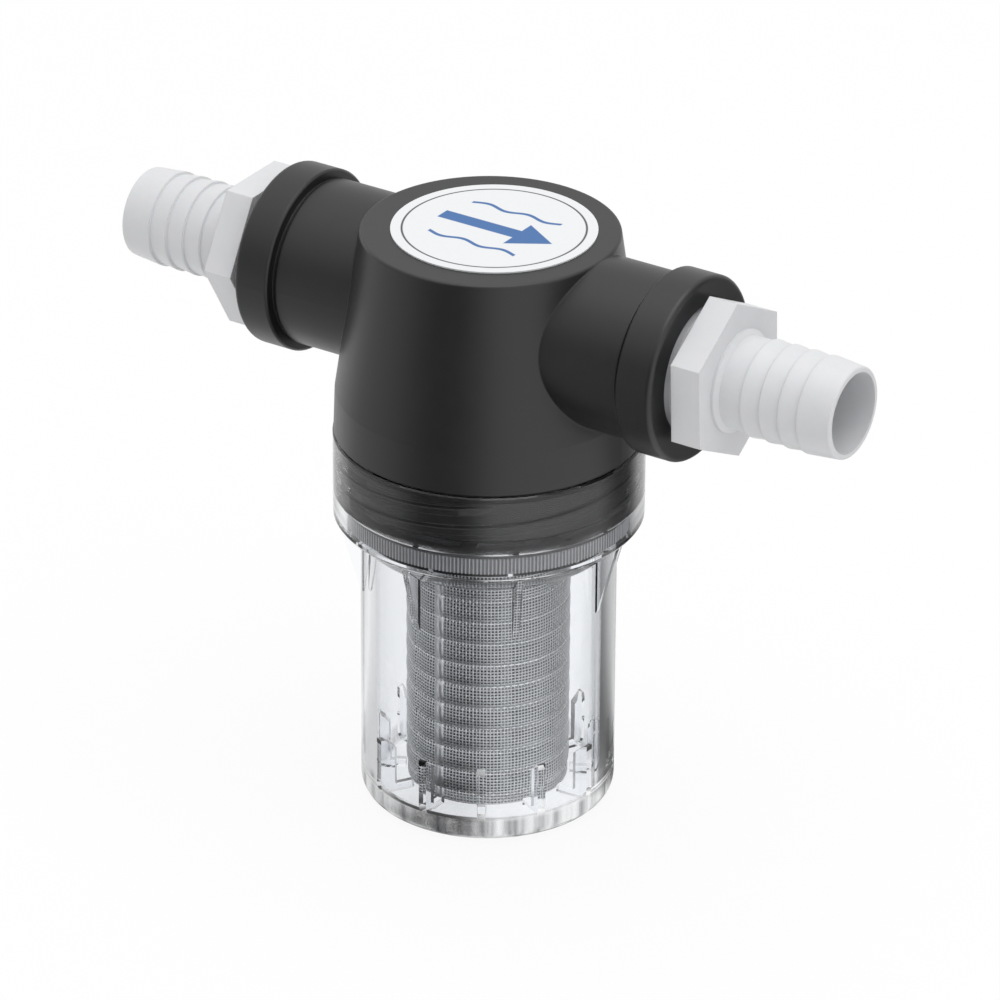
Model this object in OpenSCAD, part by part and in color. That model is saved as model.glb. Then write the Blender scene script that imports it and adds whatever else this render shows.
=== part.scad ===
// Fresh water strainer: a moulded head with two opposite ports, a screw-on
// clear bowl and a cylindrical mesh screen that plugs up into the head.
//
// Frame: origin on the bowl's underside, below the centre. +Z is up,
// the ports lie along X with the inlet at -X and the outlet at +X.

/* [Bowl] */
// Height of the bowl from its underside to its rim
bowl_h = 85.1; // [84:0.1:95]
// Outside diameter of the bowl's collar
collar_d = 65.6; // [65.2:0.1:72]
// Outside diameter of the bowl's cup
cup_d = 54.2; // [53:0.1:58]
// Wall of the cup
cup_wall = 3.1; // [2:0.1:4]
// Thickness of the cup's floor
floor_t = 4.0; // [3:0.1:5.8]
// Radius of the cup's lower outside edge
cup_edge_r = 3.5; // [1:0.1:5]
// Height of the collar's lower edge above the underside
collar_low_z = 65.8; // [65:0.1:66.5]
// Drop of the sloped underside from the collar to the cup
slope_drop = 4.8; // [3:0.1:7]

/* [Bowl ribs] */
// Number of gussets below the collar
gusset_n = 8; // [4:1:12]
// Thickness of a gusset
gusset_t = 1.4; // [0.8:0.1:2.5]
// Height of a gusset, from its tip to the slope's foot
gusset_h = 11.5; // [6:0.1:16]
// How far a gusset's outer end lies inside the collar's edge
gusset_inset = 0.8; // [0.6:0.1:2.5]
// Number of ribs on the cup's floor
rib_n = 12; // [6:1:16]
// Thickness of a floor rib
rib_t = 1.7; // [1:0.1:2.5]
// Height of the low part of a floor rib above the floor
rib_low_h = 1.6; // [1:0.1:4]
// Height of the tall part of a floor rib above the floor
rib_tall_h = 10.6; // [6:0.1:18]
// Rise of the tall part's sloped top
rib_slope = 2.2; // [0:0.1:4]
// How far the tall part stands in from the cup's wall
rib_tall_in = 2.7; // [1.5:0.1:3.6]

/* [Bowl thread] */
// Radius of the head's neck between its threads
neck_r = 29.4; // [29:0.1:29.6]
// Height of a thread ridge on the neck
ridge_h = 1.5; // [1:0.1:1.5]
// Axial distance between neighbouring ridges
ridge_pitch = 4.4; // [4.2:0.1:5]
// Number of thread starts
thread_starts = 3; // [2:1:4]
// Width of a ridge at its root
ridge_root_w = 2.4; // [1.6:0.1:2.4]
// Width of a ridge at its crest
ridge_crest_w = 1.5; // [1:0.1:1.6]
// Clearance between the two threads, and round the neck
thread_gap = 0.3; // [0.25:0.05:0.35]
// Angle at which the first ridge starts, from the outlet
thread_start_a = -5; // [-60:1:60]
// Length of the neck below the bowl's rim
neck_len = 11.3; // [10:0.1:11.8]

/* [Head] */
// Height of the port axis above the bowl's rim
axis_above_rim = 27.4; // [26:0.1:32]
// Height of the crown above the port axis
crown_above_axis = 18.1; // [17:0.1:22]
// Diameter of the flat crown
crown_d = 54.4; // [52:0.1:58]
// Diameter at the foot of the cone, where the band starts
band_top_d = 64.6; // [62:0.1:65]
// Diameter at the foot of the band
band_low_d = 65.2; // [64:0.1:65.2]
// Height of the band
band_h = 9.6; // [6:0.1:12]
// Gap between the head's shoulder and the bowl's rim
rim_gap = 0.3; // [0.3:0.05:0.5]
// Wall over the crown
crown_wall = 3.6; // [2.5:0.1:5]
// Wall of the cone and of the neck
head_wall = 3.2; // [2.5:0.1:4]
// Thickness of the wall between the inlet side and the outlet side
divider_t = 3; // [2:0.1:5]

/* [Ports] */
// Distance between the two port faces
ports_span = 102.1; // [98:0.1:112]
// Outside diameter of a stub
stub_d = 35.9; // [34:0.1:37]
// Outside diameter of a port's end collar
port_collar_d = 39.5; // [38:0.1:42]
// Length of a port's end collar
port_collar_len = 8.3; // [6:0.1:12]
// Rounding of the end collar's outer edge
port_round = 1.0; // [0.3:0.1:2]
// Width of the groove behind the end collar
port_groove_w = 0.9; // [0.4:0.1:1.6]
// Depth of the groove behind the end collar
port_groove_d = 0.5; // [0.2:0.1:1]
// Diameter of the chamfer at a port's mouth
port_mouth_d = 28.0; // [27.6:0.1:30]
// Diameter of the water channel inside a stub
channel_d = 22; // [18:0.1:23]

/* [Adapters] */
// Outside diameter of the taper pipe thread at the hex
pipe_thread_d = 26.67; // [26.4:0.01:27]
// Pitch of the taper pipe thread
pipe_pitch = 1.814; // [1.6:0.001:2]
// Number of thread turns inside the port
pipe_turns = 7; // [5:1:8]
// Length of thread left outside the port
thread_out = 2.4; // [1:0.1:4]
// Clearance between the pipe threads, filled by sealing tape
pipe_gap = 0.05; // [0.03:0.01:0.1]
// Clearance behind the adapter's inner end
pipe_end_gap = 0.3; // [0.1:0.1:1]
// Size of the hexagon across its flats
hex_af = 30.4; // [30:0.1:34]
// Length of the hexagon
hex_len = 6.7; // [4:0.1:10]
// Turn of the inlet adapter's hexagon about its axis
inlet_hex_turn = 0.7; // [0:0.1:60]
// Turn of the outlet adapter's hexagon about its axis
outlet_hex_turn = 33; // [0:0.1:60]
// Crest diameter of the hose barbs, for hose of 19 mm bore
barb_d = 20.7; // [20:0.1:23]
// Height of a barb's step
barb_step = 0.5; // [0.3:0.05:0.9]
// Width of the narrow land on a barb's crest
barb_land = 0.5; // [0.3:0.1:1]
// Distance between neighbouring barbs
barb_pitch = 4.37; // [3.5:0.01:5]
// Number of barbs
barb_n = 4; // [2:1:5]
// Length of the plain root between the hexagon and the barbs
barb_root_len = 6.5; // [3:0.1:10]
// Length of the lead-in between the outermost barb and the open end
barb_lead_len = 7.4; // [5:0.1:10]
// How much the open end's lip is smaller than the barbs' root, in radius
lip_drop = 0.1; // [0:0.1:0.4]
// Diameter of the round boss on the hexagon's outer face
boss_d = 21.9; // [21:0.1:25]
// Bore of an adapter
adapter_bore_d = 17.1; // [14:0.1:17.4]
// Rounding of the open end's lip
lip_round = 0.5; // [0.2:0.1:0.6]

/* [Screen] */
// Outside diameter of the screen's flange
flange_d = 59.0; // [56:0.1:59]
// Thickness of the flange
flange_t = 3.5; // [2.5:0.1:3.7]
// Number of grooves round the flange's edge
knurl_n = 240; // [120:10:300]
// Depth of the grooves round the flange's edge
knurl_depth = 0.3; // [0.1:0.05:0.5]
// Outside diameter of the mesh
mesh_d = 34.4; // [33.6:0.1:35]
// Wall of the mesh
mesh_t = 0.35; // [0.2:0.05:0.6]
// How far the mesh bulges between two rings
mesh_bulge = 0.3; // [0:0.05:0.4]
// Distance from the screen's lower end to the cup's floor
screen_lift = 0.6; // [0.4:0.1:1.2]
// Thickness of the closed lower end
end_cap_t = 2.8; // [1.5:0.1:4]
// Distance between neighbouring rings in the frame
ring_pitch = 5.14; // [4:0.01:8]
// Width of a ring
ring_w = 1.3; // [0.8:0.1:2]
// Number of upright bars in the frame
bar_n = 8; // [4:1:12]
// Width of an upright bar
bar_w = 2.0; // [1:0.1:3]
// Depth of the rings and the bars
frame_depth = 1.2; // [0.8:0.1:2]
// Number of water windows through the flange
window_n = 8; // [4:1:12]
// Width of the spokes between the windows
spoke_w = 3; // [2:0.1:4]
// Rim between the mesh and the windows
window_rim = 0.6; // [0.3:0.1:1.5]
// Outside diameter of the ring of windows
window_d = 41.8; // [40:0.1:44]

/* [Socket] */
// Outside diameter of the screen's plug
plug_d = 27.8; // [26:0.1:28]
// Bore of the screen's plug
plug_bore_d = 22; // [20:0.1:23]
// Length of the plug above the flange
plug_len = 13.6; // [12:0.1:15]
// Wall of the head's socket round the plug
socket_wall = 2.6; // [2:0.1:2.8]
// Gap between the plug and its socket
plug_gap = 0.4; // [0.3:0.05:0.5]
// Gap between the flange's edge and the bowl's seat
seat_gap = 0.4; // [0.3:0.05:0.6]
// Gap between the screen's foot and the floor ribs round it
foot_gap = 0.4; // [0.3:0.05:0.8]

/* [Seals] */
// Thickness of the bowl's sealing ring
bowl_ring_t = 2.4; // [2.2:0.1:2.6]
// Thickness of the screen's sealing ring
plug_ring_t = 1.8; // [1.4:0.1:2.2]
// Running clearance of a sealing ring on the wall that slides past it
ring_slip = 0.08; // [0.03:0.01:0.1]
// Clearance of a sealing ring in its groove
ring_seat = 0.04; // [0.02:0.01:0.1]

/* [Label] */
// Diameter of the round label
label_d = 42.9; // [38:0.1:48]
// Thickness of the label
label_t = 0.3; // [0.1:0.05:0.6]
// Offset of the label from the crown's centre along X
label_dx = 0.5; // [-1:0.1:1]
// Offset of the label from the crown's centre along Y
label_dy = 0.7; // [-1:0.1:1]

/* [Hidden] */
$fn = 96;
eps = 0.01;

// Heights
port_z = bowl_h + axis_above_rim;
crown_z = port_z + crown_above_axis;
shoulder_z = bowl_h + rim_gap;
neck_low_z = bowl_h - neck_len;
band_top_z = bowl_h + band_h;
slope_foot_z = collar_low_z - slope_drop;
ledge_rise = 0.3;
ledge_z = collar_low_z + ledge_rise;
flange_low_z = ledge_z + thread_gap;
flange_top_z = flange_low_z + flange_t;
socket_foot_gap = 2;
socket_low_z = flange_top_z + socket_foot_gap;
plug_top_z = flange_top_z + plug_len;
plug_groove_low = 1.5;
screen_low_z = floor_t + screen_lift;
cap_top_z = screen_low_z + end_cap_t;
ring_n = 1 + floor((flange_low_z - cap_top_z - ring_w - ring_pitch / 2) / ring_pitch);

// Radii
crown_r = crown_d / 2;
collar_r = collar_d / 2;
band_top_r = band_top_d / 2;
band_low_r = band_low_d / 2;
cup_r = cup_d / 2;
cup_in_r = cup_r - cup_wall;
ridge_r = neck_r + ridge_h;
bore_r = ridge_r + thread_gap;
flange_r = flange_d / 2;
seat_r = flange_r + seat_gap;
mesh_r = mesh_d / 2;
mesh_in_r = mesh_r - mesh_t - mesh_bulge;
frame_r = mesh_in_r - ring_seat;
frame_in_r = frame_r - frame_depth;
rib_in_r = mesh_r + foot_gap;
plug_r = plug_d / 2;
socket_r = plug_r + plug_gap;
socket_out_r = socket_r + socket_wall;
plug_ring_r = socket_r - ring_slip - plug_ring_t / 2;
window_in_r = mesh_r + window_rim;
chamber_r = neck_r - head_wall;
stub_r = stub_d / 2;
port_collar_r = port_collar_d / 2;
channel_r = channel_d / 2;
cup_fillet_r = 2;
seat_lead_in = 1.5;

// Threads
thread_lead = ridge_pitch * thread_starts;
ring_room = bowl_ring_t + 2 * ring_seat;
ridge_first_z = neck_low_z + ridge_root_w / 2 - 0.6;
ridge_last_z = shoulder_z - ring_room - ridge_root_w / 2 - 0.3;
// the bowl's ridges lie half a pitch lower, and run up to the sealing ring
bowl_ridge_first_z = ridge_first_z - ridge_pitch / 3;
bowl_ridge_last_z = ridge_last_z + 0.2;
bowl_ridge_w = 2 * (ridge_pitch / 2 - ridge_crest_w / 2 - thread_gap);
ridge_step = 7.5;
ridge_fade = 15;
ridge_sink = 0.4;

// Ports and adapters
port_face_x = ports_span / 2;
port_collar_x = port_face_x - port_collar_len;
pipe_in_len = pipe_turns * pipe_pitch;
pipe_taper = 1 / 32;
pipe_depth = 0.8 * pipe_pitch;
pipe_r = pipe_thread_d / 2;
port_mouth_r = port_mouth_d / 2;
mouth_depth = port_mouth_r - pipe_r + pipe_depth;
hex_x = port_face_x + thread_out;
hex_end_x = hex_x + hex_len;
first_barb_x = hex_end_x + barb_root_len;
last_barb_x = first_barb_x + (barb_n - 1) * barb_pitch;
barb_end_x = last_barb_x + barb_lead_len;
barb_r = barb_d / 2;
barb_root_r = barb_r - barb_step;
boss_len = 0.6;
boss_fillet = 0.8;

// Points of an arc, from angle a0 to angle a1
function arc(c, r, a0, a1, n = 6) =
    [for (i = [0:n]) c + r * [cos(a0 + (a1 - a0) * i / n), sin(a0 + (a1 - a0) * i / n)]];

// Outside radius of the cone and the band at height z
function shell_r(z) = z > band_top_z
    ? band_top_r + (crown_r - band_top_r) * (z - band_top_z) / (crown_z - band_top_z)
    : band_top_r + (band_low_r - band_top_r) * (band_top_z - z) / (band_top_z - shoulder_z);

// Turns a shape drawn about Z, with its height along Z, so that it lies along X
module along_x() { rotate([90, 0, 90]) children(); }

// Sweeps a trapezoid ridge along the bowl's thread, from height z0 to z1. It is
// root_w wide at radius r_root and crest_w wide at radius r_crest, and fades
// out at both ends. Its root is sunk into the wall that carries it.
module helix_ridge(r_root, r_crest, root_w, crest_w, z0, z1) {
    sweep = 360 * (z1 - z0) / thread_lead;
    n = ceil(sweep / ridge_step);
    out = r_crest > r_root;
    sunk = out ? -ridge_sink : ridge_sink;
    function fade(a) = min(1, a / ridge_fade, (sweep - a) / ridge_fade);
    function crest(a) = r_root + sunk / 4 + (r_crest - r_root - sunk / 4) * fade(a);
    function at(r, a, z) = [r * cos(a), r * sin(a), z];
    pts = [for (i = [0:n]) let (a = sweep * i / n, z = z0 + (z1 - z0) * i / n) each [
        at(r_root + sunk, a, z - root_w / 2), at(crest(a), a, z - crest_w / 2),
        at(crest(a), a, z + crest_w / 2), at(r_root + sunk, a, z + root_w / 2)]];
    sides = [for (i = [0:n - 1], k = [0:3]) let (p = 4 * i + k, q = 4 * i + (k + 1) % 4)
        each [[p, q, q + 4], [p, q + 4, p + 4]]];
    ends = [[3, 2, 1, 0], [4 * n, 4 * n + 1, 4 * n + 2, 4 * n + 3]];
    faces = [for (f = concat(sides, ends)) out ? f : [for (j = [len(f) - 1:-1:0]) f[j]]];
    polyhedron(points = pts, faces = faces);
}

// One ridge for each start. turn is where the helix passes the height z_turn.
module thread_set(r_root, r_crest, root_w, crest_w, z0, z1, z_turn) {
    for (i = [0:thread_starts - 1])
        rotate(thread_start_a + i * 360 / thread_starts + 360 * (z0 - z_turn) / thread_lead)
            helix_ridge(r_root, r_crest, root_w, crest_w, z0, z1);
}

// Half outline of the taper pipe thread inside the port, grown by gap and made
// longer by extra at its inner end. x is measured from the port's face.
function pipe_crest(x) = pipe_r - pipe_taper * (thread_out - x);
function pipe_profile(gap, extra) = let (low = -pipe_in_len) concat(
    [[0, low - extra], [pipe_crest(low) + gap - pipe_depth, low - extra]],
    [for (i = [0:pipe_turns - 1]) let (x = low + i * pipe_pitch, r = pipe_crest(x) + gap) each [
        [r - pipe_depth, x], [r, x + 0.42 * pipe_pitch], [r, x + 0.58 * pipe_pitch]]],
    [[pipe_crest(0) + gap - pipe_depth, 0]]);

module pipe_thread(gap, extra) {
    rotate_extrude() polygon(concat(pipe_profile(gap, extra), [[0, 0]]));
}

// Head: barrel, neck and ports, drawn solid
module head_outside() {
    rotate_extrude() polygon(concat(
        [[0, neck_low_z], [neck_r - 0.5, neck_low_z], [neck_r, neck_low_z + 0.5],
         [neck_r, shoulder_z - ring_room],
         [bore_r - ring_slip - bowl_ring_t - ring_seat, shoulder_z - ring_room],
         [bore_r - ring_slip - bowl_ring_t - ring_seat, shoulder_z],
         [band_low_r - 0.3, shoulder_z], [band_low_r, shoulder_z + 0.3],
         [band_top_r, band_top_z]],
        arc([crown_r - 0.6, crown_z - 0.6], 0.6, 8, 90, 4),
        [[0, crown_z]]));
    thread_set(neck_r, ridge_r, ridge_root_w, ridge_crest_w, ridge_first_z, ridge_last_z, ridge_first_z);
    translate([0, 0, port_z]) for (s = [0, 180]) rotate(s) along_x() rotate_extrude() polygon(concat(
        [[0, 0], [stub_r, 0], [stub_r, port_collar_x - port_groove_w - 0.2],
         [stub_r - 0.2, port_collar_x - port_groove_w],
         [stub_r - port_groove_d, port_collar_x - port_groove_w],
         [stub_r - port_groove_d, port_collar_x], [port_collar_r - 0.4, port_collar_x],
         [port_collar_r, port_collar_x + 0.4]],
        arc([port_collar_r - port_round, port_face_x - port_round], port_round, 0, 90),
        [[0, port_face_x]]));
}

// Head: the two water sides, either side of the divider
module head_inside() {
    gallery_floor_drop = 4;
    channel_overlap = 4;
    side = divider_t / 2;
    far = ports_span / 2;
    roof_z = crown_z - crown_wall;
    gallery_low_z = port_z - channel_r - gallery_floor_drop;
    gallery_r = shell_r(roof_z) - head_wall;
    chamber_top_z = gallery_low_z - divider_t;
    // ring chamber round the socket
    difference() {
        translate([0, 0, neck_low_z - 1]) cylinder(r = chamber_r, h = chamber_top_z - neck_low_z + 1);
        cylinder(r = socket_out_r, h = chamber_top_z + 1);
    }
    // socket for the screen's plug
    translate([0, 0, socket_low_z - 1]) cylinder(r = socket_r, h = chamber_top_z - socket_low_z + 1);
    // inlet gallery, open down into the ring chamber
    intersection() {
        translate([-side - far, -far, 0]) cube([far, 2 * far, crown_z]);
        union() {
            translate([0, 0, gallery_low_z]) cylinder(r = gallery_r, h = roof_z - gallery_low_z);
            difference() {
                translate([0, 0, chamber_top_z - 1]) cylinder(r = gallery_r, h = divider_t + 2);
                cylinder(r = socket_out_r, h = crown_z);
            }
        }
    }
    // outlet gallery, open down into the socket
    intersection() {
        translate([side, -far, 0]) cube([far, 2 * far, crown_z]);
        union() {
            translate([0, 0, gallery_low_z]) cylinder(r = gallery_r, h = roof_z - gallery_low_z);
            translate([0, 0, chamber_top_z - 1]) cylinder(r = socket_r, h = divider_t + 2);
        }
    }
    // channels out to the ports, and the pipe threads
    translate([0, 0, port_z]) for (s = [0, 180]) rotate(s) along_x() {
        translate([0, 0, gallery_r - channel_overlap])
            cylinder(r = channel_r, h = port_face_x - pipe_in_len - gallery_r + channel_overlap + eps);
        translate([0, 0, port_face_x]) pipe_thread(pipe_gap, pipe_end_gap);
        translate([0, 0, port_face_x - mouth_depth])
            cylinder(r1 = port_mouth_r - mouth_depth, r2 = port_mouth_r, h = mouth_depth + eps);
    }
}

module head() {
    color([0.17, 0.17, 0.18]) difference() {
        union() {
            head_outside();
            translate([0, 0, socket_low_z]) cylinder(r = socket_out_r, h = neck_low_z - socket_low_z + 2);
        }
        head_inside();
    }
}

module top_label() {
    color([0.86, 0.87, 0.88]) translate([label_dx, label_dy, crown_z]) cylinder(d = label_d, h = label_t);
}

// One hose adapter, along X with the port's face at x = port_face_x
module adapter(hex_turn) {
    tip = [barb_root_r - lip_drop, barb_end_x];
    difference() {
        union() {
            translate([port_face_x, 0, 0]) along_x() pipe_thread(0, 0);
            // last full turn of the thread, outside the port
            translate([port_face_x, 0, 0]) along_x() rotate_extrude() polygon([
                [0, -eps], [pipe_r - pipe_depth, -eps],
                [pipe_r, 0.42 * pipe_pitch], [pipe_r, 0.58 * pipe_pitch],
                [pipe_r - pipe_depth, pipe_pitch],
                [pipe_r - pipe_depth, thread_out + eps], [0, thread_out + eps]]);
            translate([hex_x, 0, 0]) along_x() rotate(hex_turn)
                cylinder(d = hex_af / cos(30), h = hex_len, $fn = 6);
            along_x() rotate_extrude() polygon(concat(
                [[0, hex_end_x - eps], [boss_d / 2, hex_end_x - eps], [boss_d / 2, hex_end_x + boss_len],
                 [barb_root_r, hex_end_x + boss_len + boss_fillet]],
                [for (i = [0:barb_n - 1]) each [
                    [barb_root_r, first_barb_x + i * barb_pitch - 0.15],
                    [barb_r, first_barb_x + i * barb_pitch],
                    [barb_r, first_barb_x + i * barb_pitch + barb_land]]],
                arc(tip - [lip_round, lip_round], lip_round, 0, 90, 5),
                [[0, barb_end_x]]));
        }
        along_x() translate([0, 0, port_face_x - pipe_in_len - 1])
            cylinder(d = adapter_bore_d, h = barb_end_x - port_face_x + pipe_in_len + 2);
    }
}

module inlet_adapter() {
    color([0.93, 0.93, 0.94]) translate([0, 0, port_z]) mirror([1, 0, 0]) adapter(inlet_hex_turn);
}

module outlet_adapter() {
    color([0.93, 0.93, 0.94]) translate([0, 0, port_z]) adapter(outlet_hex_turn);
}

module bowl() {
    gusset_foot_r = cup_r - cup_wall / 2;
    slope = slope_drop / (collar_r - cup_r);
    gusset_reach = collar_r - cup_r - gusset_inset;
    color([0.86, 0.9, 0.94, 0.35]) union() {
        rotate_extrude() polygon(concat(
            [[0, 0]], arc([cup_r - cup_edge_r, cup_edge_r], cup_edge_r, -90, 0, 8),
            [[cup_r, slope_foot_z], [collar_r - 0.5, collar_low_z], [collar_r, collar_low_z + 0.7],
             [collar_r, bowl_h - 0.3], [collar_r - 0.3, bowl_h], [bore_r + 0.3, bowl_h],
             [bore_r, bowl_h - 0.3], [bore_r, flange_top_z + 1 + seat_lead_in],
             [seat_r, flange_top_z + 1], [seat_r, ledge_z], [cup_in_r + 0.5, ledge_z],
             [cup_in_r, ledge_z - 0.5]],
            arc([cup_in_r - cup_fillet_r, floor_t + cup_fillet_r], cup_fillet_r, 0, -90, 5),
            [[0, floor_t]]));
        thread_set(bore_r, neck_r + thread_gap, bowl_ridge_w, min(ridge_crest_w, bowl_ridge_w),
            bowl_ridge_first_z, bowl_ridge_last_z, ridge_first_z - ridge_pitch / 2);
        for (i = [0:gusset_n - 1]) rotate([90, 0, i * 360 / gusset_n])
            translate([0, 0, -gusset_t / 2]) linear_extrude(gusset_t) polygon([
                [gusset_foot_r, slope_foot_z - gusset_h], [cup_r + 0.3, slope_foot_z - gusset_h],
                [cup_r + gusset_reach, slope_foot_z + slope * gusset_reach + 0.4],
                [gusset_foot_r, slope_foot_z + 1]]);
        for (i = [0:rib_n - 1]) rotate([90, 0, i * 360 / rib_n])
            translate([0, 0, -rib_t / 2]) linear_extrude(rib_t) polygon([
                [rib_in_r, floor_t - 1], [cup_in_r + 1, floor_t - 1],
                [cup_in_r + 1, floor_t + rib_tall_h + rib_slope],
                [cup_in_r - 0.6, floor_t + rib_tall_h + rib_slope],
                [cup_in_r - rib_tall_in, floor_t + rib_tall_h], [cup_in_r - rib_tall_in, floor_t + rib_low_h],
                [rib_in_r, floor_t + rib_low_h]]);
    }
}

// Sealing ring round the neck, under the head's shoulder
module bowl_ring() {
    color([0.06, 0.06, 0.06]) translate([0, 0, shoulder_z - ring_room / 2]) rotate_extrude()
        translate([bore_r - ring_slip - bowl_ring_t / 2, 0]) circle(d = bowl_ring_t, $fn = 32);
}

// Height of ring i of the screen's frame, counted from the closed end
function ring_z(i) = flange_low_z - ring_pitch * (ring_n - 0.5 - i);

module screen_frame() {
    groove_z = plug_top_z - plug_ring_t - plug_groove_low;
    color([0.5, 0.51, 0.53]) {
        difference() {
            union() {
                translate([0, 0, flange_low_z]) linear_extrude(flange_t) polygon(
                    [for (i = [0:2 * knurl_n - 1]) (flange_r - (i % 2) * knurl_depth)
                        * [cos(180 * i / knurl_n), sin(180 * i / knurl_n)]]);
                translate([0, 0, flange_top_z - 1]) rotate_extrude() polygon([
                    [0, 0], [plug_r, 0], [plug_r, plug_len + 0.2],
                    [plug_r - 0.8, plug_len + 1], [0, plug_len + 1]]);
            }
            translate([0, 0, flange_low_z - 1]) cylinder(d = plug_bore_d, h = flange_t + plug_len + 2);
            translate([0, 0, flange_low_z - 1]) difference() {
                cylinder(d = window_d, h = flange_t + 2);
                cylinder(r = window_in_r, h = flange_t + 2);
                for (i = [0:window_n - 1]) rotate((i + 0.5) * 360 / window_n)
                    translate([0, -spoke_w / 2, 0]) cube([flange_r, spoke_w, flange_t + 2]);
            }
            rotate_extrude() translate([plug_ring_r - plug_ring_t / 2 - ring_seat, groove_z - ring_seat])
                square([plug_ring_t * 2, plug_ring_t + 2 * ring_seat]);
        }
        translate([0, 0, screen_low_z]) cylinder(r = frame_r, h = end_cap_t);
        for (i = [0:ring_n - 1]) translate([0, 0, ring_z(i) - ring_w / 2]) difference() {
            cylinder(r = frame_r, h = ring_w);
            translate([0, 0, -1]) cylinder(r = frame_in_r, h = ring_w + 2);
        }
        // bars, a hair thinner than the rings that they pass through
        translate([0, 0, cap_top_z - 0.5]) linear_extrude(flange_low_z - cap_top_z + 1) intersection() {
            difference() {
                circle(r = frame_r - 0.05);
                circle(r = frame_in_r + 0.05);
            }
            for (i = [0:bar_n - 1]) rotate(i * 360 / bar_n)
                translate([0, -bar_w / 2]) square([mesh_r, bar_w]);
        }
    }
}

// Mesh sleeve, bulging a little between the frame's rings
module screen_mesh() {
    n = 6;
    top_z = flange_low_z - ring_seat;
    rise = [for (k = [0:ring_n])
        let (z0 = k == 0 ? cap_top_z : ring_z(k - 1), z1 = k == ring_n ? top_z : ring_z(k))
        each [for (j = [0:n - 1]) [mesh_bulge * sqrt(sin(180 * j / n)), z0 + (z1 - z0) * j / n]]];
    all_pts = concat([[0, screen_low_z]], rise, [[0, top_z]]);
    color([0.62, 0.64, 0.66]) rotate_extrude() polygon(concat(
        [for (p = all_pts) [mesh_in_r + mesh_t + p[0], p[1]]],
        [for (i = [len(all_pts) - 1:-1:0]) [mesh_in_r + all_pts[i][0], all_pts[i][1]]]));
}

// Sealing ring round the screen's plug
module screen_ring() {
    ring_middle_z = plug_top_z - plug_ring_t / 2 - plug_groove_low;
    color([0.06, 0.06, 0.06]) translate([0, 0, ring_middle_z]) rotate_extrude()
        translate([plug_ring_r, 0]) circle(d = plug_ring_t, $fn = 32);
}

head();
top_label();
inlet_adapter();
outlet_adapter();
bowl();
bowl_ring();
screen_frame();
screen_mesh();
screen_ring();
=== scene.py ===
"""Looks for the fresh water strainer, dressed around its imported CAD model.

Every length is in metres, in the CAD's frame: the bowl stands on z = 0, the
ports lie along X with the inlet at -X, and the camera stands at -Y and +X.
"""

import math

import bpy
from mathutils import Matrix, Vector


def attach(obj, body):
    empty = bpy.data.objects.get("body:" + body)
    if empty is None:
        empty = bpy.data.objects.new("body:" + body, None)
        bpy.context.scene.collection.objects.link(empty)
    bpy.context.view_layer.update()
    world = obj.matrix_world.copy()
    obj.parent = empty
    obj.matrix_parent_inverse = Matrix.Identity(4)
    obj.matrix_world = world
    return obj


MM = 0.001

# The photograph's camera
CAMERA_AZIMUTH = 32.91
CAMERA_ELEVATION = 27.34
CAMERA_ROLL = -0.35
CAMERA_DISTANCE = 1364.9 * MM
CAMERA_TARGET = (2.76 * MM, 0, 68.76 * MM)
CAMERA_LENS = 233.95
SENSOR_WIDTH = 36
CLIP_START, CLIP_END = 0.01, 100

# The wire cloth of the screen, laid on the CAD's mesh sleeve. Its hoops lie under the
# uprights at one crossing and over them at the next.
SLEEVE_RADIUS = 16.9 * MM
CLOTH_BULGE = 0.3 * MM
CLOTH_LOW = 4.75 * MM
CAP_TOP = 7.4 * MM
CLOTH_HIGH = 66.3 * MM
FLANGE_LOW = 66.4 * MM
RING_PITCH = 5.14 * MM
RINGS = 11
LOWEST_RING = FLANGE_LOW - RING_PITCH * (RINGS - 0.5)
HIGHEST_RING = FLANGE_LOW - RING_PITCH * 0.5
WIRE_COLUMNS = 150
WIRE_ROWS = 86
WIRE_WIDTH = 0.28 * MM
WIRE_THICKNESS = 0.12 * MM
WIRE_LIFT = 0.04 * MM
WIRE_SWELL = 0.8 * MM
CLOTH_GAP = 0.01 * MM
CLOTH_RADIUS = SLEEVE_RADIUS + WIRE_LIFT + WIRE_THICKNESS / 2 + CLOTH_GAP

# The frame behind the cloth, as it shows between the wires
RING_WIDTH = 1.3 * MM
BARS = 8
BAR_WIDTH = 2.0 * MM
FRAME_SOFTNESS = 0.15 * MM
DARK_ABOVE_CAP = 1.6 * MM

# The seam of the cloth
SEAM_ANGLE = -92
SEAM_WIDTH = 1.9 * MM
SEAM_THICKNESS = 0.06 * MM
SEAM_GAP = 0.02 * MM

# The studio's cards by horizontal direction: degrees to the right of the camera,
# half width of the even part, half width with the soft edge, and brightness
CARDS = {
    "right card": (42, 12, 62, 1.35),
    "left card": (-105, 22, 62, 0.60),
    "backdrop": (180, 45, 68, 0.85),
}
DIM = 0.07

# The same studio for what is reflected inside the clear bowl, where little comes from behind
CARDS_INSIDE = {
    "right card": (38, 8, 60, 0.88),
    "left card": (-105, 22, 56, 0.55),
    "backdrop": (180, 35, 70, 0.32),
}
DIM_INSIDE = 0.06

# The studio's ceiling, by the sine of the height at which it starts and is full white
CEILING = (0.2, 0.75)
STUDIO_STRENGTH = 0.85
LAMP_PLACE = (0.15, 0.0, 1.3)
LAMP_AIM = (0, 0, 0.07)
LAMP_SIDE = 1.2
LAMP_WATTS = 7

# The floor: half of its side, and how much of its white takes no shadow
FLOOR_HALF = 12.0
FLOOR_GLOW = 0.9

# The greased thread of the bowl: everything inside this radius, above this height
THREAD_REACH = 31.3 * MM
THREAD_LOW = 71.0 * MM
GREASE_SHARE = 0.82

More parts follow.
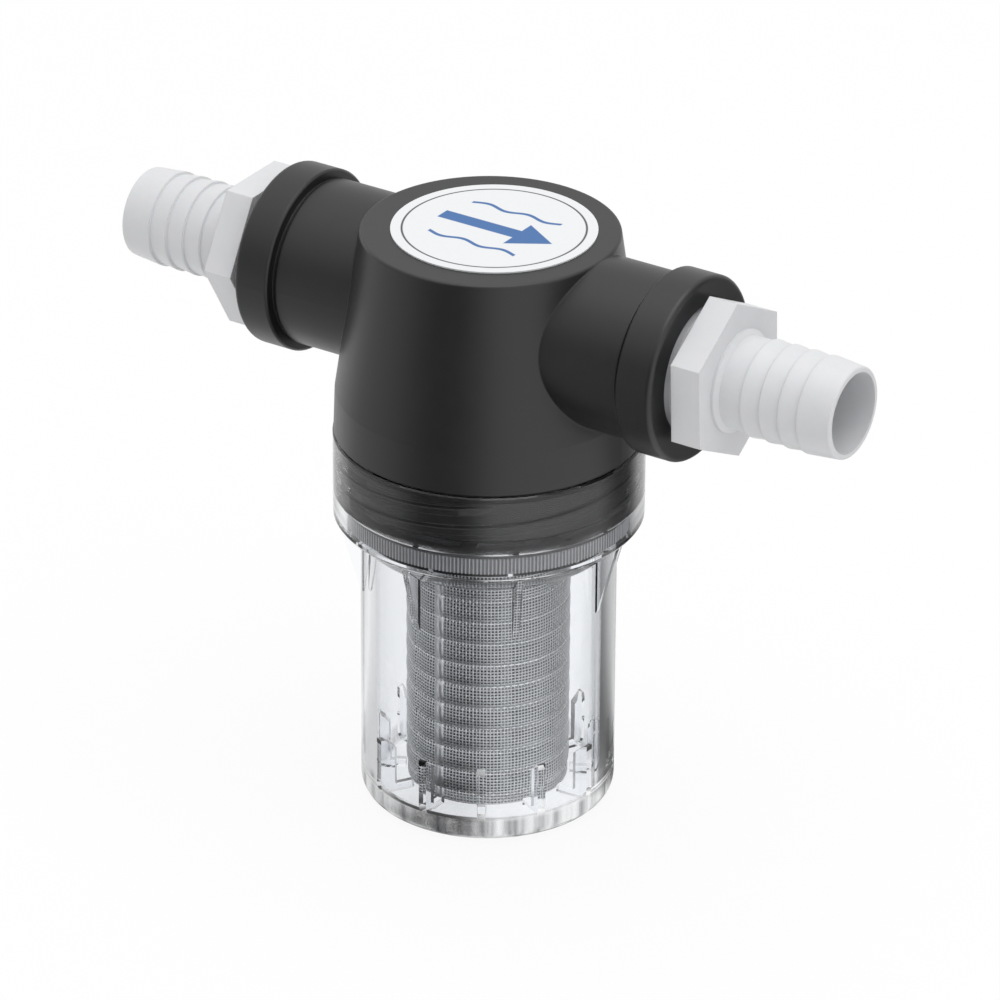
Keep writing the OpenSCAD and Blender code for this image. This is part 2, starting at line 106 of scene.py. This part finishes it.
# The head's shoulder, under which its own thread starts
SHOULDER_Z = 85.4 * MM

# The bowl's foot, inside which the floor shows white. Its painted shade, a darker colour, lies
# on its outside, so deep and so high.
FOOT_RADIUS = 27.1 * MM
FOOT_SHADE_DEPTH = 2.4 * MM
FOOT_SHADE_HEIGHT = 7.3 * MM

# The ribs on the edge of the screen's flange
FLANGE_EDGE = 29.2 * MM
FLANGE_RIBS = 240

# The printed label
LABEL_CENTRE = (0.5 * MM, 0.7 * MM)
LABEL_RADIUS = 21.45 * MM

WHITE = (1.0, 1.0, 1.0, 1)


class Socket:
    """A node's output. A Python expression on it adds the Math nodes."""

    def __init__(self, nodes, output):
        self.nodes, self.output = nodes, output

    def math(self, operation, *values):
        return self.nodes.add("ShaderNodeMath", {"operation": operation}, dict(enumerate(values)))

    def __add__(self, other):
        return self.math("ADD", self, other)

    def __radd__(self, other):
        return self.math("ADD", other, self)

    def __sub__(self, other):
        return self.math("SUBTRACT", self, other)

    def __rsub__(self, other):
        return self.math("SUBTRACT", other, self)

    def __mul__(self, other):
        return self.math("MULTIPLY", self, other)

    def __rmul__(self, other):
        return self.math("MULTIPLY", other, self)

    def __truediv__(self, other):
        return self.math("DIVIDE", self, other)

    def __abs__(self):
        return self.math("ABSOLUTE", self)

    def fraction(self):
        return self.math("FRACT", self)

    def sine(self):
        return self.math("SINE", self)

    def cosine(self):
        return self.math("COSINE", self)

    def root(self):
        return self.math("SQRT", self)

    def modulo(self, other):
        return self.math("MODULO", self, other)

    def smallest(self, other):
        return self.math("MINIMUM", self, other)

    def largest(self, other):
        return self.math("MAXIMUM", self, other)

    def step(self, start, end):
        """0 before start, 1 after end, and smooth between them."""
        return self.nodes.add(
            "ShaderNodeMapRange",
            {"interpolation_type": "SMOOTHSTEP"},
            {"Value": self, "From Min": start, "From Max": end, "To Min": 0.0, "To Max": 1.0},
        )


class Nodes:
    """Builds one node tree, of a material, the world or a geometry modifier."""

    def __init__(self, tree):
        self.tree = tree

    def add(self, kind, settings=None, sockets=None, output=0):
        """Adds a node: its settings first, then the values or links of its sockets."""
        node = self.tree.nodes.new(kind)
        for key, value in (settings or {}).items():
            setattr(node, key, value)
        for key, value in (sockets or {}).items():
            if isinstance(value, Socket):
                self.tree.links.new(value.output, node.inputs[key])
            else:
                node.inputs[key].default_value = value
        found = [o for o in node.outputs if o.enabled] if isinstance(output, int) else node.outputs
        return Socket(self, found[output]) if node.outputs else node

    def other(self, socket, output):
        """Another output of the node that a socket belongs to."""
        return Socket(self, socket.output.node.outputs[output])

    def point(self):
        """The surface point in the object's own frame."""
        return self.add("ShaderNodeTexCoord", output="Object")

    def parts(self, vector):
        """A vector's x, y and z."""
        x = self.add("ShaderNodeSeparateXYZ", sockets={0: vector}, output="X")
        return x, self.other(x, "Y"), self.other(x, "Z")

    def surface(self, shader):
        """Makes a shader the material's surface."""
        self.tree.links.new(shader.output, self.tree.nodes["Material Output"].inputs["Surface"])

    def noise(self, vector, size, detail=2.0, roughness=0.5):
        """Noise whose patches are about size metres across, from 0 to 1."""
        return self.add(
            "ShaderNodeTexNoise",
            sockets={"Vector": vector, "Scale": 1 / size, "Detail": detail, "Roughness": roughness},
        )

    def mix(self, share, low, high):
        """The colour low where share is 0 and high where it is 1."""
        return self.add("ShaderNodeMix", {"data_type": "RGBA"}, {0: share, 6: low, 7: high})

    def bump(self, height, distance, strength=1.0, normal=None):
        sockets = {"Height": height, "Distance": distance, "Strength": strength}
        if normal:
            sockets["Normal"] = normal
        return self.add("ShaderNodeBump", sockets=sockets)


def grey(value, blue=1.0):
    """A neutral colour, a little cooler where blue is above 1."""
    return (value, value, value * blue, 1)


def new_material(name, **sockets):
    """A material with one Principled shader, and the builder of its nodes."""
    material = bpy.data.materials.new(name)
    material.use_nodes = True
    nodes = Nodes(material.node_tree)
    shader = material.node_tree.nodes["Principled BSDF"]
    for key, value in sockets.items():
        shader.inputs[key.replace("_", " ")].default_value = value
    return material, nodes, shader


def feed(nodes, shader, **sockets):
    """Links maps to the shader's sockets."""
    for key, value in sockets.items():
        nodes.tree.links.new(value.output, shader.inputs[key.replace("_", " ")])


def from_middle(x, y):
    """The horizontal distance from the middle."""
    return (x * x + y * y).root()


def round_axis(x, y, count):
    """From 0 to 1 in each of count equal sectors round the bowl's axis. One has its middle, 0.5,
    at +X."""
    return (y.math("ARCTAN2", y, x) * count / (2 * math.pi) + count + 0.5).fraction()


def worn_and_highlighted_edges(nodes, radius):
    """A normal with softly rounded edges, and a mask that is 1 along them: rubbed wear on the black
    moulding, and a painted highlight on the screen's frame and the black thread.
    """
    rounded = nodes.add("ShaderNodeBevel", {"samples": 4}, {"Radius": radius})
    true_normal = nodes.add("ShaderNodeNewGeometry", output="True Normal")
    facing = nodes.add(
        "ShaderNodeVectorMath", {"operation": "DOT_PRODUCT"}, {0: rounded, 1: true_normal}, output="Value"
    )
    return rounded, (1 - facing).step(0.01, 0.2)


def moulded_black():
    """Satin black moulding: fine spark grain, faint flow marks and rubbed edges, with a painted highlight
    along the edges of its thread below the shoulder.
    """
    material, nodes, shader = new_material("moulded_black", IOR=1.5, Specular_IOR_Level=0.62)
    point = nodes.point()
    rounded, edge = worn_and_highlighted_edges(nodes, 0.45 * MM)
    grain = nodes.noise(point, 0.32 * MM, detail=3.0)
    flow = nodes.noise(point, 14 * MM, detail=3.0, roughness=0.6)
    patch = nodes.noise(point, 3.5 * MM, detail=4.0, roughness=0.62)
    tone = (flow * 0.5 + patch * 0.5 + edge * 0.35).smallest(1.0)
    _, _, z = nodes.parts(point)
    thread = 1 - z.step(SHOULDER_Z - 0.4 * MM, SHOULDER_Z)
    # Painted highlight: along the edges of the head's thread the colour is painted light grey.
    crest_highlight = edge * thread
    feed(
        nodes, shader,
        Base_Color=nodes.mix(crest_highlight * 0.9, nodes.mix(tone, grey(0.008, 1.05), grey(0.014, 1.05)), grey(0.16)),
        Roughness=0.33 + flow * 0.06 + patch * 0.05 - edge * 0.05 - thread * 0.17,
        Normal=nodes.bump(grain, 0.012 * MM, 0.15, rounded),
    )
    return material


def moulded_white():
    """White nylon: waxy, with a soft grain and slightly yellowed patches."""
    material, nodes, shader = new_material(
        "moulded_white", IOR=1.5, Specular_IOR_Level=0.4, Subsurface_Weight=0.06, Subsurface_Scale=1.2 * MM
    )
    point = nodes.point()
    rounded, edge = worn_and_highlighted_edges(nodes, 0.3 * MM)
    grain = nodes.noise(point, 0.4 * MM, detail=3.0)
    patch = nodes.noise(point, 6 * MM, detail=4.0, roughness=0.6)
    feed(
        nodes, shader,
        Base_Color=nodes.mix(patch, (0.65, 0.66, 0.68, 1), (0.715, 0.72, 0.73, 1)),
        Roughness=0.34 + patch * 0.1 + edge * 0.04,
        Normal=nodes.bump(grain, 0.012 * MM, 0.3, rounded),
    )
    return material


def clear_plastic():
    """Clear moulding with faint flow waves and a cool tint. Its thread is greased, so it
    hardly bends the light. Low on the outside of its foot it has a painted shade, a darker colour in
    streaks."""
    material, nodes, shader = new_material(
        "clear_plastic", IOR=1.49, Transmission_Weight=1.0, Specular_IOR_Level=0.5
    )
    point = nodes.point()
    flow = nodes.noise(point, 9 * MM, detail=2.0)
    haze = nodes.noise(point, 2.5 * MM, detail=3.0)
    x, y, z = nodes.parts(point)
    reach = from_middle(x, y)
    # Painted shade: low on the foot's outside the colour is darkened in streaks.
    shade_start = FOOT_RADIUS - FOOT_SHADE_DEPTH
    outside = reach.step(shade_start, shade_start + 1 * MM)
    level = nodes.add("ShaderNodeCombineXYZ", sockets={"X": x, "Y": y})
    streak = nodes.noise(level, 3 * MM, detail=3.0)
    low = 1 - z.step(FOOT_SHADE_HEIGHT * 0.7, FOOT_SHADE_HEIGHT)
    foot = outside * low * (streak * 2.4 - 0.65).largest(0.0).smallest(1.0)
    body = nodes.mix(flow, (0.955, 0.97, 0.99, 1), (0.975, 0.985, 1.0, 1))
    feed(
        nodes, shader,
        Base_Color=nodes.mix(foot, body, (0.035, 0.038, 0.045, 1)),
        Roughness=0.004 + haze * 0.012,
        Normal=nodes.bump(flow, 0.05 * MM, 0.25),
    )
    within_thread = 1 - reach.step(THREAD_REACH, THREAD_REACH + 0.1 * MM)
    greased = within_thread * z.step(THREAD_LOW, THREAD_LOW + 0.5 * MM)
    film = nodes.add("ShaderNodeBsdfTransparent", sockets={"Color": grey(0.93)})
    clear = Socket(nodes, shader.outputs[0])
    lamps_pass = nodes.add("ShaderNodeLightPath", output="Is Shadow Ray")
    share = lamps_pass.largest(greased * GREASE_SHARE)
    nodes.surface(nodes.add("ShaderNodeMixShader", sockets={0: share, 1: clear, 2: film}))
    return material


def sealing_rubber():
    """Black sealing rubber, dull, with a trace of grease."""
    material, nodes, shader = new_material("sealing_rubber", IOR=1.5, Specular_IOR_Level=0.4)
    point = nodes.point()
    grease = nodes.noise(point, 2.2 * MM, detail=4.0, roughness=0.65)
    feed(
        nodes, shader,
        Base_Color=nodes.mix(grease, grey(0.012), grey(0.022)),
        Roughness=0.62 - grease.step(0.5, 0.75) * 0.25,
        Normal=nodes.bump(nodes.noise(point, 0.25 * MM, detail=2.0), 0.01 * MM, 0.4),
    )
    return material


def screen_plastic():
    """Mid-grey glossy moulding of the screen's frame and flange. Its edges carry a painted highlight, and
    the flange's ribs a painted highlight on each crest with painted shade between them.
    """
    material, nodes, shader = new_material("screen_plastic", IOR=1.5, Specular_IOR_Level=0.5)
    point = nodes.point()
    rounded, edge = worn_and_highlighted_edges(nodes, 0.12 * MM)
    patch = nodes.noise(point, 4 * MM, detail=3.0, roughness=0.6)
    body = nodes.mix(patch, grey(0.24, 1.06), grey(0.30, 1.06))
    x, y, z = nodes.parts(point)
    # Painted highlight and shade on the flange's ribbed rim: light along each rib's crest, dark between the
    # ribs.
    rim = from_middle(x, y).step(FLANGE_EDGE, FLANGE_EDGE + 0.2 * MM)
    crest_highlight = 1 - abs(round_axis(x, y, FLANGE_RIBS) - 0.5).step(0.08, 0.34)
    rib_highlight_and_shade = nodes.mix(crest_highlight, grey(0.16, 1.04), grey(0.78, 1.03))
    # Painted highlight: elsewhere the edges are painted light grey.
    feed(
        nodes, shader,
        Base_Color=nodes.mix(rim, nodes.mix(edge, body, grey(0.62, 1.03)), rib_highlight_and_shade),
        Roughness=0.24 + patch * 0.1,
        Normal=nodes.bump(nodes.noise(point, 0.5 * MM), 0.01 * MM, 0.25, rounded),
    )
    return material


def wire_metal():
    """Fine bright wire, drawn along its length, that swells between the frame's rings. Over the rings its
    colour is painted brighter, a painted highlight.
    """
    material, nodes, shader = new_material("wire_metal", Metallic=0.93)
    point = nodes.point()
    drawn = nodes.noise(point, 0.12 * MM, detail=2.0)
    patch = nodes.noise(point, 7 * MM, detail=3.0)
    _, _, z = nodes.parts(point)
    swell = (((z - LOWEST_RING) / RING_PITCH).fraction() * math.pi).sine()
    # Painted highlight: over the rings the wire is painted brighter, and it is smoother there.
    ring_row_highlight = 1 - swell.step(0.10, 0.45)
    drawn_wire = nodes.mix(patch, (0.76, 0.77, 0.79, 1), (0.86, 0.865, 0.88, 1))
    feed(
        nodes, shader,
        Base_Color=nodes.mix(ring_row_highlight, drawn_wire, (0.97, 0.975, 0.985, 1)),
        Roughness=0.24 + drawn * 0.12 - ring_row_highlight * 0.08,
        Normal=nodes.bump(swell, WIRE_SWELL, 1.0),
    )
    return material


def cloth_back():
    """What shows between the wires: painted shade for the unlit inside of the screen, and the grey
    frame where a ring, a bar or the closed end lies behind the cloth."""
    material, nodes, shader = new_material("cloth_back", IOR=1.5, Specular_IOR_Level=0.3)
    point = nodes.point()
    x, y, z = nodes.parts(point)

    def within(distance, limit):
        """1 where a distance is under its limit."""
        return 1 - distance.step(limit - FRAME_SOFTNESS, limit + FRAME_SOFTNESS)

    ring = within(abs(((z - LOWEST_RING) / RING_PITCH + 0.5).fraction() - 0.5) * RING_PITCH, RING_WIDTH / 2)
    sector_width = 2 * math.pi / BARS * SLEEVE_RADIUS
    bar = within(abs(round_axis(x, y, BARS) - 0.5) * sector_width, BAR_WIDTH / 2)
    dark_end = CAP_TOP + DARK_ABOVE_CAP
    above = ring.largest(bar * 0.6) * z.step(dark_end, dark_end + 0.6 * MM)
    frame_shows = above.largest(within(z, CAP_TOP))
    patch = nodes.noise(point, 3 * MM, detail=3.0)
    # Painted shade: the sleeve is coloured near black where the screen's unlit inside shows between the
    # wires.
    painted_inside_shade = nodes.mix(patch, grey(0.018, 1.05), grey(0.035, 1.05))
    feed(
        nodes, shader,
        Base_Color=nodes.mix(frame_shows, painted_inside_shade, grey(0.46, 1.03)),
        Roughness=0.45 + patch * 0.15,
    )
    return material


def label_film():
    """Pale printed film: a ring, and a flow arrow from the inlet to the outlet between waves.
    The print is drawn in shares of the label's radius."""
    material, nodes, shader = new_material("label_film", IOR=1.5, Specular_IOR_Level=0.45)
    point = nodes.point()
    x, y, _ = nodes.parts(point)
    x, y = (x - LABEL_CENTRE[0]) / LABEL_RADIUS, (y - LABEL_CENTRE[1]) / LABEL_RADIUS
    soft = 0.006

    def inside(distance):
        """1 where a signed distance is below zero."""
        return (distance * -1).step(-soft, soft)

    ring = inside(abs(from_middle(x, y) - 0.89) - 0.010)
    shaft = (abs(x + 0.10) - 0.50).largest(abs(y) - 0.085)
    tip = (abs(y) + (x - 0.66) * 0.62).largest(0.26 - x)
    arrow = inside(shaft.smallest(tip))
    middle = 0.40 + (x * 14).sine() * 0.028
    waves = inside((abs(abs(y) - middle) - 0.022).largest(abs(x) - 0.50))
    blue = (arrow + waves).smallest(1.0)
    ink = (ring + blue).smallest(1.0)
    fibre = nodes.noise(point, 0.5 * MM, detail=3.0)
    paper = nodes.mix(fibre, (0.74, 0.75, 0.765, 1), (0.78, 0.79, 0.80, 1))
    ringed = nodes.mix(ring, paper, (0.045, 0.05, 0.06, 1))
    feed(
        nodes, shader,
        Base_Color=nodes.mix(blue, ringed, (0.03, 0.13, 0.36, 1)),
        Roughness=0.42 + fibre * 0.08 - ink * 0.12,
        Normal=nodes.bump(fibre * 0.4 + ink, 0.015 * MM, 0.4),
    )
    return material


def towards(x, y, turn):
    """The cosine between a horizontal direction and one that many degrees to the right of the
    photograph's camera, as seen from the strainer."""
    angle = math.radians(CAMERA_AZIMUTH - 90 + turn)
    return (x * math.cos(angle) + y * math.sin(angle)) / (from_middle(x, y) + 1e-6)


def studio_tone(x, y, cards=CARDS, dim=DIM):
    """How bright the studio is towards a horizontal direction: its cards, and dim between them."""
    tone = dim
    for turn, even, edge, brightness in cards.values():
        edge_cosine, even_cosine = math.cos(math.radians(edge)), math.cos(math.radians(even))
        tone = tone + towards(x, y, turn).step(edge_cosine, even_cosine) * brightness
    return tone


def through_plastic(nodes, path):
    """Two masks for rays that leave clear plastic: those never reflected, and the others."""
    bounced = (nodes.other(path, "Glossy Depth") + nodes.other(path, "Diffuse Depth")).smallest(1.0)
    through = nodes.other(path, "Is Transmission Ray")
    return through * (1 - bounced), through * bounced


def clear_tone(nodes, x, y):
    """What shows through clear plastic: white behind it, and cool grey to its sides."""
    return nodes.mix(towards(x, y, 180).step(-0.1, 0.85), (0.50, 0.53, 0.62, 1), WHITE)


def pale_floor():
    """Plain white floor that keeps the shadow. Glossy surfaces see the studio's cards in it, and
    the clear bowl shows it white under its foot."""
    material, nodes, shader = new_material("pale_floor", Roughness=0.6, Specular_IOR_Level=0.2)
    point = nodes.point()
    x, y, _ = nodes.parts(point)
    feed(nodes, shader, Base_Color=nodes.mix(nodes.noise(point, 0.05), grey(0.88), grey(0.90)))
    path = nodes.add("ShaderNodeLightPath", output="Is Camera Ray")
    glossy = nodes.other(path, "Is Glossy Ray")
    through = nodes.other(path, "Is Transmission Ray")
    clear, inside = through_plastic(nodes, path)
    studio = nodes.mix(glossy, grey(1.0), studio_tone(x, y).smallest(1.0))
    studio = nodes.mix(inside, studio, studio_tone(x, y, CARDS_INSIDE, DIM_INSIDE).smallest(1.0))
    beyond = from_middle(x, y).step(FOOT_RADIUS, FOOT_RADIUS + 4 * MM)
    seen = nodes.mix(clear, studio, nodes.mix(beyond, grey(1.0), clear_tone(nodes, x, y)))
    glow = nodes.add("ShaderNodeEmission", sockets={"Color": seen, "Strength": 1.0})
    share = path.largest(glossy).largest(through) * FLOOR_GLOW
    lit = Socket(nodes, shader.outputs[0])
    nodes.surface(nodes.add("ShaderNodeMixShader", sockets={0: share, 1: lit, 2: glow}))
    return material


def geometry_tree(name, sizes):
    """A geometry tree with one named input for each size."""
    tree = bpy.data.node_groups.new(name, "GeometryNodeTree")
    tree.interface.new_socket("Geometry", in_out="OUTPUT", socket_type="NodeSocketGeometry")
    for size, value in sizes.items():
        kind = "NodeSocketInt" if isinstance(value, int) else "NodeSocketFloat"
        tree.interface.new_socket(size, in_out="INPUT", socket_type=kind)
    nodes = Nodes(tree)
    first = tree.nodes.new("NodeGroupInput")
    given = {size: Socket(nodes, first.outputs[size]) for size in sizes}
    return nodes, given


def plain_mesh(name, nodes, sizes, geometry, material):
    """Ends the tree, runs it on an empty mesh and keeps the result as a plain mesh object."""
    solid = nodes.add("GeometryNodeRealizeInstances", sockets={"Geometry": geometry})
    dressed = nodes.add("GeometryNodeSetMaterial", sockets={"Geometry": solid, "Material": material})
    last = nodes.tree.nodes.new("NodeGroupOutput")
    nodes.tree.links.new(dressed.output, last.inputs["Geometry"])
    seed = bpy.data.objects.new(name + "_seed", bpy.data.meshes.new(name + "_seed"))
    bpy.context.scene.collection.objects.link(seed)
    modifier = seed.modifiers.new("build", "NODES")
    modifier.node_group = nodes.tree
    for item in nodes.tree.interface.items_tree:
        if item.in_out == "INPUT":
            modifier[item.identifier] = sizes[item.name]
    bpy.context.view_layer.update()
    mesh = bpy.data.meshes.new_from_object(seed.evaluated_get(bpy.context.evaluated_depsgraph_get()))
    seed.modifiers.remove(modifier)
    bpy.data.objects.remove(seed)
    if not mesh.materials:
        mesh.materials.append(material)
    piece = bpy.data.objects.new(name, mesh)
    bpy.context.scene.collection.objects.link(piece)
    return piece


CLOTH_SIZES = {
    "Columns": WIRE_COLUMNS,
    "Rows": WIRE_ROWS,
    "Wall radius": CLOTH_RADIUS,
    "Bulge": CLOTH_BULGE,
    "Low": CLOTH_LOW,
    "High": CLOTH_HIGH,
    "Cap top": CAP_TOP,
    "Lowest ring": LOWEST_RING,
    "Highest ring": HIGHEST_RING,
    "Ring pitch": RING_PITCH,
    "Lift": WIRE_LIFT,
    "Width": WIRE_WIDTH,
    "Thickness": WIRE_THICKNESS,
    "First angle": 0.0,
}
# The sleeve's joint is one upright strip, laid over the wires
SEAM_SIZES = CLOTH_SIZES | {
    "Columns": 1,
    "Wall radius": CLOTH_RADIUS + WIRE_LIFT + WIRE_THICKNESS / 2 + SEAM_GAP,
    "Lift": 0.0,
    "Width": SEAM_WIDTH,
    "Thickness": SEAM_THICKNESS,
    "First angle": math.radians(SEAM_ANGLE),
}


def lobe(z, given):
    """How far the cloth bulges at height z: nothing at a ring, most halfway between two."""
    below = (z - given["Cap top"]) / (given["Lowest ring"] - given["Cap top"])
    between = ((z - given["Lowest ring"]) / given["Ring pitch"]).fraction()
    above = (z - given["Highest ring"]) / (given["High"] - given["Highest ring"])
    low = 1 - z.math("GREATER_THAN", z, given["Lowest ring"])
    high = z.math("GREATER_THAN", z, given["Highest ring"])
    share = low * below + high * above + (1 - low) * (1 - high) * between
    share = share.largest(0.0).smallest(1.0)
    return (share * math.pi).sine().largest(0.0).root() * given["Bulge"]


def wires(name, upright, material, sizes=CLOTH_SIZES):
    """One direction of the wire cloth: upright wires, or hoops round the screen."""
    nodes, given = geometry_tree(name, sizes)
    count, strands = ("Rows", "Columns") if upright else ("Columns", "Rows")
    starts = nodes.add(
        "GeometryNodeMeshLine", {"mode": "OFFSET"}, {"Count": given[strands], "Offset": (0, 0, 0)}
    )
    index = nodes.add("GeometryNodeInputIndex")
    numbered = nodes.add(
        "GeometryNodeStoreNamedAttribute",
        {"data_type": "INT", "domain": "POINT"},
        {"Geometry": starts, "Name": "strand", "Value": index},
    )
    if upright:
        line = nodes.add("GeometryNodeCurvePrimitiveLine", sockets={"Start": (0, 0, 0), "End": (0, 0, 1)})
        one = nodes.add("GeometryNodeResampleCurve", sockets={"Curve": line, "Count": given[count]})
    else:
        one = nodes.add("GeometryNodeCurvePrimitiveCircle", sockets={"Resolution": given[count]})
    copies = nodes.add("GeometryNodeInstanceOnPoints", sockets={"Points": numbered, "Instance": one})
    curves = nodes.add("GeometryNodeRealizeInstances", sockets={"Geometry": copies})
    strand = nodes.add("GeometryNodeInputNamedAttribute", {"data_type": "INT"}, {"Name": "strand"})
    along = nodes.add("GeometryNodeInputIndex").modulo(given[count])
    row, column = (along, strand) if upright else (strand, along)
    angle = given["First angle"] + column * (2 * math.pi) / given["Columns"]
    z = given["Low"] + (given["High"] - given["Low"]) * row / (given["Rows"] - 1)
    over = 1 - 2 * (row + column).modulo(2.0)
    lift = over * given["Lift"] * (1 if upright else -1)
    reach = given["Wall radius"] + lobe(z, given) + lift
    place = nodes.add(
        "ShaderNodeCombineXYZ", sockets={"X": reach * angle.cosine(), "Y": reach * angle.sine(), "Z": z}
    )
    woven = nodes.add("GeometryNodeSetPosition", sockets={"Geometry": curves, "Position": place})
    if upright:
        shape = {"Width": given["Width"], "Height": given["Thickness"]}
    else:
        shape = {"Width": given["Thickness"], "Height": given["Width"]}
    profile = nodes.add("GeometryNodeCurvePrimitiveQuadrilateral", sockets=shape)
    mesh = nodes.add("GeometryNodeCurveToMesh", sockets={"Curve": woven, "Profile Curve": profile})
    return plain_mesh(name, nodes, sizes, mesh, material)


def dress(obj, material):
    """Gives a CAD node or a piece one material on every slot."""
    if not obj.data.materials:
        obj.data.materials.append(material)
    for i in range(len(obj.material_slots)):
        obj.material_slots[i].link = "OBJECT"
        obj.material_slots[i].material = material


def make_floor():
    mesh = bpy.data.meshes.new("floor")
    corners = [(FLOOR_HALF * x, FLOOR_HALF * y, 0) for x, y in ((-1, -1), (1, -1), (1, 1), (-1, 1))]
    mesh.from_pydata(corners, [], [(0, 1, 2, 3)])
    floor = bpy.data.objects.new("floor", mesh)
    bpy.context.scene.collection.objects.link(floor)
    mesh.materials.append(pale_floor())


def make_world():
    """The studio round the strainer: its cards and backdrop, and a white ceiling."""
    world = bpy.data.worlds.new("studio")
    bpy.context.scene.world = world
    world.use_nodes = True
    nodes = Nodes(world.node_tree)
    back = world.node_tree.nodes["Background"]
    x, y, up = nodes.parts(nodes.add("ShaderNodeTexCoord", output="Generated"))
    ceiling = up.step(*CEILING)
    path = nodes.add("ShaderNodeLightPath", output="Is Camera Ray")
    clear, inside = through_plastic(nodes, path)
    open_studio = nodes.mix(ceiling, studio_tone(x, y), WHITE)
    bowl_studio = nodes.mix(ceiling, studio_tone(x, y, CARDS_INSIDE, DIM_INSIDE), WHITE)
    seen = nodes.mix(clear, nodes.mix(inside, open_studio, bowl_studio), clear_tone(nodes, x, y))
    nodes.tree.links.new(nodes.mix(path, seen, WHITE).output, back.inputs["Color"])
    back.inputs["Strength"].default_value = STUDIO_STRENGTH


def make_lamp():
    """One soft box overhead."""
    data = bpy.data.lights.new("overhead", "AREA")
    data.shape, data.size, data.size_y = "RECTANGLE", LAMP_SIDE, LAMP_SIDE
    data.energy = LAMP_WATTS
    lamp = bpy.data.objects.new("overhead", data)
    lamp.location = LAMP_PLACE
    lamp.rotation_euler = (Vector(LAMP_AIM) - Vector(LAMP_PLACE)).to_track_quat("-Z", "Y").to_euler()
    bpy.context.scene.collection.objects.link(lamp)


def make_camera():
    """The photograph's camera. Its azimuth is counted from -Y towards +X."""
    azimuth, elevation = math.radians(CAMERA_AZIMUTH), math.radians(CAMERA_ELEVATION)
    roll = math.radians(CAMERA_ROLL)
    level = Vector((math.sin(azimuth), -math.cos(azimuth), 0)) * math.cos(elevation)
    back = level + Vector((0, 0, math.sin(elevation)))
    right = Vector((math.cos(azimuth), math.sin(azimuth), 0))
    up = back.cross(right)
    turned_right = right * math.cos(roll) - up * math.sin(roll)
    turned_up = right * math.sin(roll) + up * math.cos(roll)
    data = bpy.data.cameras.new("photo_camera")
    data.sensor_width, data.lens = SENSOR_WIDTH, CAMERA_LENS
    data.clip_start, data.clip_end = CLIP_START, CLIP_END
    camera = bpy.data.objects.new("photo_camera", data)
    axes = Matrix((turned_right, turned_up, back)).transposed().to_4x4()
    camera.matrix_world = Matrix.Translation(Vector(CAMERA_TARGET) + back * CAMERA_DISTANCE) @ axes
    bpy.context.scene.collection.objects.link(camera)
    bpy.context.scene.camera = camera


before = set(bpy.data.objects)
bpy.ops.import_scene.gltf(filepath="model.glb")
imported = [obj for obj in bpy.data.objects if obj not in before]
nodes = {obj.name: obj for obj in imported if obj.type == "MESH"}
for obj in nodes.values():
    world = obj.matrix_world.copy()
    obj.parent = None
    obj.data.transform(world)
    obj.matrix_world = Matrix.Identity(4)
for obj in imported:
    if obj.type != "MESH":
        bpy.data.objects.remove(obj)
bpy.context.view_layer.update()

make_camera()
make_floor()
make_world()
make_lamp()

white, rubber, metal = moulded_white(), sealing_rubber(), wire_metal()
dress(nodes["head"], moulded_black())
dress(nodes["top_label"], label_film())
dress(nodes["inlet_adapter"], white)
dress(nodes["outlet_adapter"], white)
dress(nodes["bowl"], clear_plastic())
dress(nodes["bowl_ring"], rubber)
dress(nodes["screen_ring"], rubber)
dress(nodes["screen_frame"], screen_plastic())
dress(nodes["screen_mesh"], cloth_back())

hoops = wires("wire_hoops", False, metal)
uprights = wires("wire_uprights", True, metal)
seam = wires("mesh_seam", True, metal, SEAM_SIZES)
for piece in (hoops, uprights, seam):
    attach(piece, "screen")

bpy.context.scene.view_settings.view_transform = "Standard"
